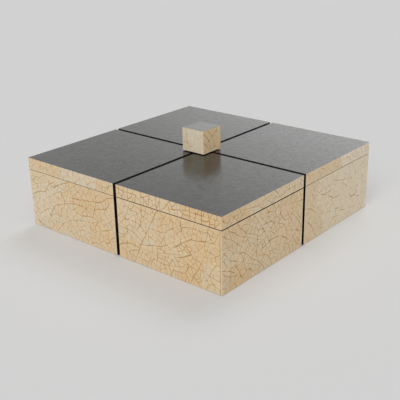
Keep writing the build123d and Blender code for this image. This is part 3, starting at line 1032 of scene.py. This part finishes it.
def crack_panel(node, chip_share, boldness, smallest):
    """One eggshell panel in a CAD panel's place, cracked as the photographed sides are, or by its seed.

    Its chips are of a share of the usual area, its cracks bolder or fainter than the base's, and chips under
    the smallest area, in square millimetres, are joined to others.
    """
    sizes = bpy.context.scene.amenity_sizes
    part, _, side, *half = node.split("_")
    turn = Matrix.Rotation(math.radians(SIDES[side]), 4, "Z")
    corners = [turn.inverted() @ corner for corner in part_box(node)]
    lo, hi = Vector(map(min, *corners)), Vector(map(max, *corners))
    mitres = {"left": (-1,), "right": (1,)}.get("".join(half), (-1, 1))
    if -1 in mitres:
        lo.x = lo.y
    if 1 in mitres:
        hi.x = -lo.y
    slack = SEAMS.get((side, *half), 0.0) * MM
    if part == "base":
        hi.z -= slack
    elif part == "lid":
        lo.z += slack
    bm = blank_panel(lo, hi, mitres, sizes.ease, flush_top=part != "base")
    facing = Facing(bm, node)
    for openness, numbers in BREAKS.get(node, ()):
        facing.draw(openness, numbers)
    blows, (grain, share), laid = marks_of(node, lo, hi)
    facing.shatter(sizes.chip * chip_share * MM * MM, blows, grain, boldness * share)
    facing.clean(smallest * MM * MM, sizes.closest)
    facing.waver(sizes.waver)
    facing.pin_border()
    facing.tint(laid)
    facing.soak()
    lines = points_of(facing.cracks())
    facing.step_in(sizes.crack_width / 2, EDGE_STAIN, 1.0)
    facing.step_in(sizes.stain_width, 0.0, 0.0)
    facing.settle(lines, sizes.crack_depth, sizes.unlevel)
    # The outer face is shell, the edges and the back are black with the grooves' painted shade,
    # and the top edge is lacquered with the lid.
    for face in bm.faces:
        if face.normal.y > -0.3:
            face.material_index = 2 if part != "base" and face.normal.z > 0.9 else 1
    bmesh.ops.triangulate(bm, faces=bm.faces, ngon_method="BEAUTY")
    bmesh.ops.transform(bm, matrix=turn, verts=bm.verts)
    panel = piece_of(
        node.replace("shell", "eggshell"), bm, "cracked_eggshell", "painted_shade_groove_black", "rubbed_lid_lacquer",
    )
    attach(panel, "base" if part == "base" else "lid")
    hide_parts(node)


def paint(nodes, name):
    """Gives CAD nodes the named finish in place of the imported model's plain one."""
    for node in nodes:
        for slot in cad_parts[node].material_slots:
            slot.material = finish(name)


def nodes_of(*slots):
    """The CAD nodes whose packed material is one of the named slots."""
    return [name for name, node in sorted(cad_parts.items()) if node.material_slots[0].name in slots]


NODES = {slot: nodes_of(slot) for slot in ("dark_lacquer", "black_lacquer", "bare_wood", "steel", "brass")}


def colour(name, description, default):
    """A colour setting. The default is as a picker shows it, from 0 to 255."""
    return FloatVectorProperty(
        name=name, description=description, default=linear(*default), size=3, min=0, max=1, subtype="COLOR"
    )


def small_length(name, description, default):
    """A length setting, in metres."""
    return FloatProperty(
        name=name, description=description, default=default, min=0, unit="LENGTH", precision=5
    )


def strength(name, description, default):
    return FloatProperty(name=name, description="Strength of the " + description, default=default, min=0)


class AmenitySizes(bpy.types.PropertyGroup):
    ease: small_length("Eased edge", "How far the outer edges of a panel are rubbed back", 0.25 * MM)
    crack_width: small_length("Crack width", "How wide the brown line of a crack is", 0.34 * MM)
    crack_depth: small_length("Crack depth", "How deep an open crack is sunk", 0.06 * MM)
    stain_width: small_length("Stain width", "How far the shell beside a crack is stained", 0.60 * MM)
    waver: small_length("Waver", "How far a crack strays from a straight line", 0.18 * MM)
    unlevel: small_length("Unlevel", "How far a chip may lie out of level", 0.03 * MM)
    closest: small_length("Closest corners", "Corners of chips nearer than this run into one", 0.70 * MM)
    chip: FloatProperty(name="Chip", description="Area of a usual chip on the base, mm2", default=25, min=4)


class AmenityColours(bpy.types.PropertyGroup):
    pale: colour("Pale shell", "The palest of the shell's four tints", (223, 211, 189))
    grey: colour("Grey shell", "The coolest tint of the shell", (217, 202, 174))
    cream: colour("Cream shell", "The middle tint of the shell", (218, 196, 160))
    peach: colour("Peach shell", "The warmest tint of the shell", (217, 188, 145))
    stain: colour("Stain", "Lacquer soaked into the shell beside a crack", (190, 152, 82))
    stain_warm: colour("Warm stain", "Lacquer soaked in where it is more orange", (206, 138, 34))
    crack: colour("Crack", "Lacquer in the cracks", (164, 113, 28))
    crack_deep: colour("Deep crack", "Lacquer in the most open cracks", (124, 76, 16))
    top: colour("Lid lacquer", "The lid's dark lacquer", (26, 28, 24))
    top_warm: colour("Lid lacquer, warm", "The lid's lacquer where it is rubbed warmer", (30, 29, 25))
    cap: colour("Cap lacquer", "The lacquer of the knob's cap, rubbed paler than the lid's", (84, 85, 82))
    black: colour("Black lacquer", "The lacquer of the grooves and the inside", (22, 21, 20))
    rubbed: colour("Rubbed lacquer", "Black lacquer rubbed thin", (58, 46, 36))
    ground: colour("Ground", "The dull ground under the black lacquer", (36, 32, 28))
    wood: colour("Wood", "Bare wood between its rings", (196, 162, 118))
    wood_dark: colour("Wood rings", "The rings of the bare wood", (158, 118, 76))
    steel: colour("Steel", "The screw and its washer", (196, 198, 200))
    brass: colour("Brass", "The threaded insert", (214, 180, 110))
    felt: colour("Felt", "The felt's fibres", (44, 42, 40))
    lint: colour("Lint", "The lighter fibres on the felt", (92, 88, 82))
    floor: colour("Floor", "The pale floor and backdrop", (210, 210, 210))
    stain_depth: FloatProperty(
        name="Stain depth", description="How strongly the stain covers the shell", default=0.6, min=0, max=1,
        subtype="FACTOR",
    )


class AmenityStage(bpy.types.PropertyGroup):
    lens: FloatProperty(name="Lens", description="Focal length", default=66.08, min=1, unit="CAMERA")
    key: strength("Key light", "light from the front", 1.93)
    top: strength("Top light", "light from above", 0.61)
    back: strength("Back light", "light from behind", 0.65)
    sheen: strength("Window glow", "soft glow behind the box, seen in reflections alone", 1.5)
    room: strength("Room light", "light from all round", 0.26)


class AmenityStep:
    """What the steps share: each builds its pieces once and can be undone."""

    bl_options = {"REGISTER", "UNDO"}

    def execute(self, context):
        self.make(context.scene)
        return {"FINISHED"}


def lay_floor():
    """The plain floor, 16 m across."""
    bm = bmesh.new()
    bmesh.ops.create_grid(bm, x_segments=24, y_segments=24, size=8.0)
    piece_of("studio_floor", bm, "studio_floor")


def light_room(settings, pale):
    """Light from all round, the pale backdrop where it is seen, and a glow that only reflections show."""
    world = bpy.data.worlds.new("studio_room")
    bpy.context.scene.world = world
    tree = NodeTree(world)
    rays = (tree.node("LightPath", output=f"Is {kind} Ray") for kind in ("Camera", "Glossy", "Transmission"))
    by_eye, by_gloss, through = rays
    backdrop = tree.node("Background", values={"Color": (*pale, 1), "Strength": 1.0 + by_gloss * 0.30})
    light = tree.node("Background", values={"Color": (1, 1, 1, 1), "Strength": settings.room})
    room = tree.node("MixShader", values={0: by_eye | by_gloss | through, 1: light, 2: backdrop})
    facing = {0: tree.node("TexCoord", output="Generated"), 1: WINDOW}
    facing = tree.node("VectorMath", {"operation": "DOT_PRODUCT"}, facing, "Value")
    edge, core = (math.cos(math.radians(angle)) for angle in WINDOW_REACH)
    sheen = tree.ramp(facing, edge, core) * by_gloss * settings.sheen
    glow = tree.node("Background", values={"Color": (1, 1, 1, 1), "Strength": sheen})
    tree.node("OutputWorld", values={"Surface": tree.node("AddShader", values={0: room, 1: glow})})


def hang_lamp(name, strength):
    """One of the sun lamps."""
    softness, towards = LAMPS[name]
    lamp = bpy.data.lights.new(name + "_light", "SUN")
    lamp.energy = strength
    lamp.angle = math.radians(softness)
    place_in_scene(lamp.name, lamp).rotation_euler = Vector(towards).to_track_quat("Z", "Y").to_euler()


def aim_camera(lens):
    """The camera at the photograph's place and angle."""
    camera = place_in_scene("camera", bpy.data.cameras.new("camera"))
    turn, fall, roll = (math.radians(angle) for angle in CAMERA_TURN)
    ahead = Vector((-math.sin(turn) * math.cos(fall), math.cos(turn) * math.cos(fall), -math.sin(fall)))
    across = Vector((math.cos(turn), math.sin(turn), 0))
    above = across.cross(ahead)
    right = across * math.cos(roll) + above * math.sin(roll)
    up = above * math.cos(roll) - across * math.sin(roll)
    camera.matrix_world = Matrix((right, up, -ahead)).transposed().to_4x4()
    camera.location = CAMERA_PLACE
    camera.data.sensor_width = 36
    camera.data.lens = lens
    bpy.context.scene.camera = camera


class AMENITY_OT_stage(AmenityStep, bpy.types.Operator):
    """Sets the floor, the soft studio light and the camera"""

    bl_idname = "amenity.stage"
    bl_label = "Set the Stage"

    def make(self, scene):
        settings = scene.amenity_stage
        lay_floor()
        light_room(settings, scene.amenity_colours.floor)
        hang_lamp("key", settings.key)
        hang_lamp("back", settings.back)
        hang_lamp("top", settings.top)
        aim_camera(settings.lens)
        scene.view_settings.view_transform = "Standard"


class AMENITY_OT_base_facings(AmenityStep, bpy.types.Operator):
    """Faces the base with eight cracked eggshell panels"""

    bl_idname = "amenity.base_facings"
    bl_label = "Face the Base"

    def make(self, scene):
        for side in SIDES:
            for half in HALVES:
                crack_panel(f"base_shell_{side}_{half}", chip_share=1.0, boldness=1.0, smallest=4.0)


class AMENITY_OT_lid_facings(AmenityStep, bpy.types.Operator):
    """Faces the lid's edge with eight cracked eggshell strips"""

    bl_idname = "amenity.lid_facings"
    bl_label = "Face the Lid"

    def make(self, scene):
        for side in SIDES:
            for half in HALVES:
                crack_panel(f"lid_shell_{side}_{half}", chip_share=0.9, boldness=1.15, smallest=2.0)


class AMENITY_OT_knob_facings(AmenityStep, bpy.types.Operator):
    """Faces the knob with four small eggshell panels"""

    bl_idname = "amenity.knob_facings"
    bl_label = "Face the Knob"

    def make(self, scene):
        for side in SIDES:
            crack_panel(f"knob_shell_{side}", chip_share=0.7, boldness=0.75, smallest=2.0)


class AMENITY_OT_lid_lacquer(AmenityStep, bpy.types.Operator):
    """Gives the lid's panels and the knob's cap their rubbed dark lacquer"""

    bl_idname = "amenity.lid_lacquer"
    bl_label = "Lacquer the Lid"

    def make(self, scene):
        paint(NODES["dark_lacquer"], "rubbed_lid_lacquer")
        paint(["knob_cap"], "rubbed_cap_lacquer")


class AMENITY_OT_box_lacquer(AmenityStep, bpy.types.Operator):
    """Gives the carcass, its lining and its dividers their black lacquer, with painted shade in the grooves
    """

    bl_idname = "amenity.box_lacquer"
    bl_label = "Lacquer the Box"

    def make(self, scene):
        paint(NODES["black_lacquer"], "worn_black_lacquer")
        paint([f"wall_{side}" for side in SIDES], "painted_shade_groove_black")


class AMENITY_OT_bare_wood(AmenityStep, bpy.types.Operator):
    """Gives the tongues and the knob's core their bare wood"""

    bl_idname = "amenity.bare_wood"
    bl_label = "Grain the Wood"

    def make(self, scene):
        paint(NODES["bare_wood"], "close_grained_wood")


class AMENITY_OT_fixings(AmenityStep, bpy.types.Operator):
    """Gives the knob's screw, washer and insert their metals"""

    bl_idname = "amenity.fixings"
    bl_label = "Finish the Fixings"

    def make(self, scene):
        paint(NODES["steel"], "turned_steel")
        paint(NODES["brass"], "turned_brass")


class AMENITY_OT_felt(AmenityStep, bpy.types.Operator):
    """Lays the sheet of felt under the box"""

    bl_idname = "amenity.felt"
    bl_label = "Lay the Felt"

    def make(self, scene):
        lo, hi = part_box("felt_sheet")
        half = (hi.x - lo.x) / 2
        bm = bmesh.new()
        bmesh.ops.create_grid(bm, x_segments=72, y_segments=72, size=half)
        top = bmesh.ops.extrude_face_region(bm, geom=bm.faces[:])["geom"]
        raised = {part for part in top if isinstance(part, bmesh.types.BMVert)}
        for vert in bm.verts:
            if vert in raised:
                vert.co.z += hi.z
            else:
                vert.co.z += FELT_NAP * abs(noise.noise(vert.co / (4 * MM)))
            rims = [axis for axis in (0, 1) if half - abs(vert.co[axis]) < NEAR]
            frayed = FELT_FRAY * abs(noise.noise(vert.co.xy.to_3d() / (3 * MM)))
            for axis in rims:
                cut = FELT_CORNER if len(rims) == 2 else frayed
                vert.co[axis] -= math.copysign(cut, vert.co[axis])
        bmesh.ops.recalc_face_normals(bm, faces=bm.faces)
        felt = piece_of("felt_underside", bm, "pressed_felt")
        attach(felt, "base")
        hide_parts("felt_sheet")


STEPS = (
    AMENITY_OT_stage, AMENITY_OT_base_facings, AMENITY_OT_lid_facings, AMENITY_OT_knob_facings,
    AMENITY_OT_lid_lacquer, AMENITY_OT_box_lacquer, AMENITY_OT_bare_wood, AMENITY_OT_fixings, AMENITY_OT_felt,
)


class AMENITY_PT_steps(bpy.types.Panel):
    """The box's settings and the steps that build it"""

    bl_label = "Amenity Box"
    bl_space_type = "VIEW_3D"
    bl_region_type = "UI"
    bl_category = "Amenity Box"

    def draw(self, context):
        for step in STEPS:
            self.layout.operator(step.bl_idname)
        for group in GROUPS:
            box = self.layout.box()
            settings = getattr(context.scene, group)
            for name in settings.bl_rna.properties.keys():
                if name not in ("rna_type", "name"):
                    box.prop(settings, name)


GROUPS = {"amenity_sizes": AmenitySizes, "amenity_colours": AmenityColours, "amenity_stage": AmenityStage}
CLASSES = (*GROUPS.values(), *STEPS, AMENITY_PT_steps)


def register():
    for kind in CLASSES:
        bpy.utils.register_class(kind)
    for name, kind in GROUPS.items():
        setattr(bpy.types.Scene, name, PointerProperty(type=kind))


def unregister():
    for name in GROUPS:
        delattr(bpy.types.Scene, name)
    for kind in reversed(CLASSES):
        bpy.utils.unregister_class(kind)


def main():
    register()
    for step in STEPS:
        getattr(bpy.ops.amenity, step.bl_idname.split(".")[1])()


if __name__ == "__main__":
    main()
